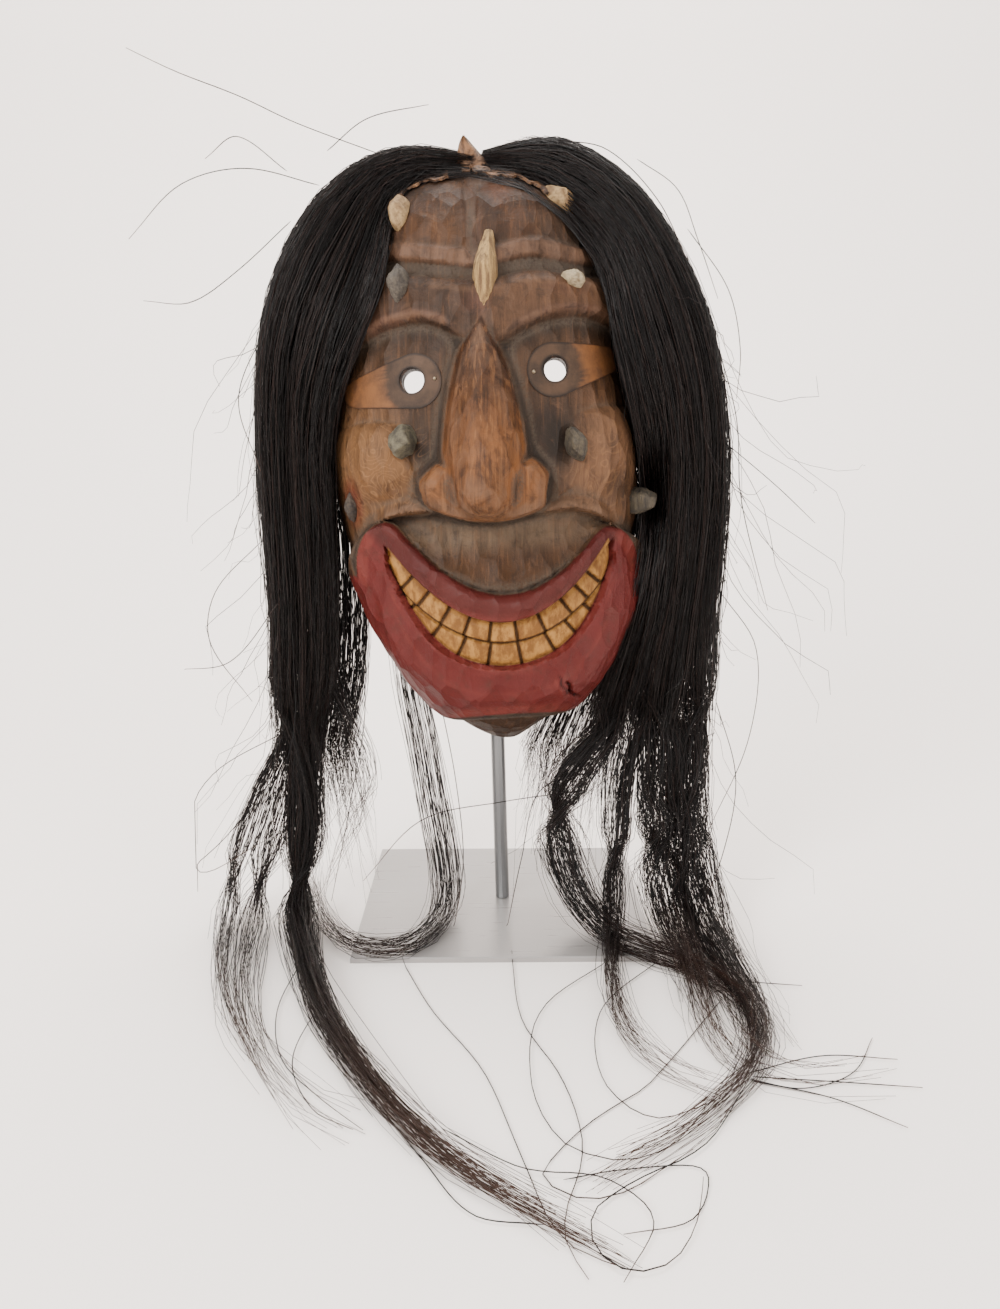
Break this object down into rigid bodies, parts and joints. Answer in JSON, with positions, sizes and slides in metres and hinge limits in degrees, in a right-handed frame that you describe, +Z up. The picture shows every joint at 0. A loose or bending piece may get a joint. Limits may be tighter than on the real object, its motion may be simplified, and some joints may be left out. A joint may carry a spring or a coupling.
{
  "type": "carved wooden mask on a stand",
  "caption": "Carved wooden giant mask with a painted grin, stones set in the face, pierced eyes and long horsehair, upright on a rod with a square foot plate.",
  "frame": {"origin": "centre of the foot plate's underside", "axes": "+Z up, -Y towards the viewer of the face, +X to the viewer's right"},
  "size_m": [0.3263, 0.3799, 0.4212],
  "materials": {
    "wood": "satin",
    "stone": "matte",
    "eye_metal": "satin",
    "nail": "gloss",
    "rawhide": "matte",
    "hair": "satin",
    "plate_steel": "satin",
    "rod_steel": "satin"
  },
  "bodies": {
    "root": {"mask": "wood", "stone_forehead_left": "stone", "stone_forehead_right": "stone", "stone_forehead_centre": "stone", "stone_brow_left": "stone", "stone_brow_right": "stone", "stone_cheek_left": "stone", "stone_cheek_right": "stone", "stone_jaw_left": "stone", "stone_jaw_right": "stone", "eye_plate_left": "eye_metal", "eye_plate_right": "eye_metal", "eye_nail_left": "nail", "eye_nail_right": "nail", "rawhide_left": "rawhide", "rawhide_right": "rawhide", "hair_left": "hair", "hair_right": "hair", "locks_left": "hair", "locks_right": "hair", "lock_left_inner": "hair", "lock_behind_chin": "hair", "stand_plate": "plate_steel", "stand_rod": "rod_steel"}
  },
  "joints": []
}
